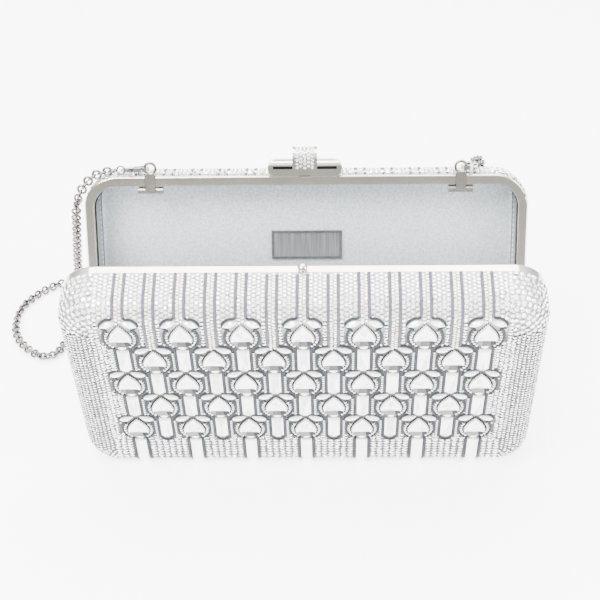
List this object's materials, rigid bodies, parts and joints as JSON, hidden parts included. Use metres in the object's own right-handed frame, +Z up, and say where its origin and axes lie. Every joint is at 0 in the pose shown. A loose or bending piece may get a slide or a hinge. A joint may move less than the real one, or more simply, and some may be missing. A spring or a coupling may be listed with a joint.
{
  "type": "minaudiere",
  "caption": "Hard evening clutch: two stone-set metal halves on a bottom hinge, with a slide clasp, fold-out chain posts and a clip-on chain.",
  "frame": {"origin": "middle of the base of the open case, on the floor under the hinge", "axes": "+X along the hinge, to the right as seen in the picture; +Z up; the front half faces -Y"},
  "size_m": [0.2436, 0.1735, 0.1246],
  "materials": {
    "case": "silver-plated, covered with small set stones",
    "nickel": "polished nickel plate",
    "hinge": "satin nickel plate",
    "plate": "brushed, bevelled, bare",
    "lining": "metallic silver-blue grain leather",
    "drop_stone": "pear-cut crystal, foiled",
    "leaf_stone": "navette-cut crystal, foiled",
    "stem_stone": "baguette-cut crystal, foiled",
    "slider_stone": "round-cut crystal, foiled",
    "chain": "polished silver-tone links"
  },
  "bodies": {
    "rear_half": {"rear_shell": "case", "rear_frame": "nickel", "rear_lining": "lining", "rear_hinge_leaf": "hinge", "hinge_pin": "hinge", "interior_plate": "plate", "clasp_bar": "nickel", "clasp_rivets": "nickel", "left_post_bracket": "nickel", "left_post_pin": "nickel", "right_post_bracket": "nickel", "right_post_pin": "nickel", "rear_drop_stones": "drop_stone", "rear_leaf_stones": "leaf_stone", "rear_stem_stones": "stem_stone", "chain_left": "chain", "chain_right": "chain"},
    "front_half": {"front_shell": "case", "front_frame": "nickel", "front_lining": "lining", "front_hinge_leaf": "hinge", "lock_stud": "nickel", "front_drop_stones": "drop_stone", "front_leaf_stones": "leaf_stone", "front_stem_stones": "stem_stone"},
    "clasp_slider": {"clasp_slider": "nickel", "slider_stones": "slider_stone"},
    "left_post": {"left_chain_post": "nickel", "left_claw_body": "nickel", "left_claw_rivet": "nickel", "left_claw_ring": "nickel"},
    "left_gate": {"left_claw_gate": "nickel"},
    "right_post": {"right_chain_post": "nickel", "right_claw_body": "nickel", "right_claw_rivet": "nickel", "right_claw_ring": "nickel"},
    "right_gate": {"right_claw_gate": "nickel"}
  },
  "joints": [
    {"name": "lid_hinge", "type": "hinge", "parent": "rear_half", "child": "front_half", "pos_m": [0, 0, 0.0046], "axis": [1, 0, 0], "range_deg": [-35.4, 0]},
    {"name": "clasp_slide", "type": "slide", "parent": "rear_half", "child": "clasp_slider", "axis": [1, 0, 0], "range_m": [-0.004, 0.004]},
    {"name": "left_post_fold", "type": "hinge", "parent": "rear_half", "child": "left_post", "pos_m": [-0.0665, 0.03401, 0.10459], "axis": [1, 0, 0], "range_deg": [0, 175]},
    {"name": "right_post_fold", "type": "hinge", "parent": "rear_half", "child": "right_post", "pos_m": [0.0665, 0.03401, 0.10459], "axis": [1, 0, 0], "range_deg": [0, 175]},
    {"name": "left_gate_hinge", "type": "hinge", "parent": "left_post", "child": "left_gate", "pos_m": [-0.07439, 0.0353, 0.11406], "axis": [-0.0523, 0.3036, 0.9514], "range_deg": [0, 20], "stiffness_Nm_per_rad": 0.002, "springref_deg": -20.05},
    {"name": "right_gate_hinge", "type": "hinge", "parent": "right_post", "child": "right_gate", "pos_m": [0.07149, 0.04077, 0.11257], "axis": [-0.003, -0.3118, -0.9501], "range_deg": [0, 20], "stiffness_Nm_per_rad": 0.002, "springref_deg": -20.05}
  ]
}
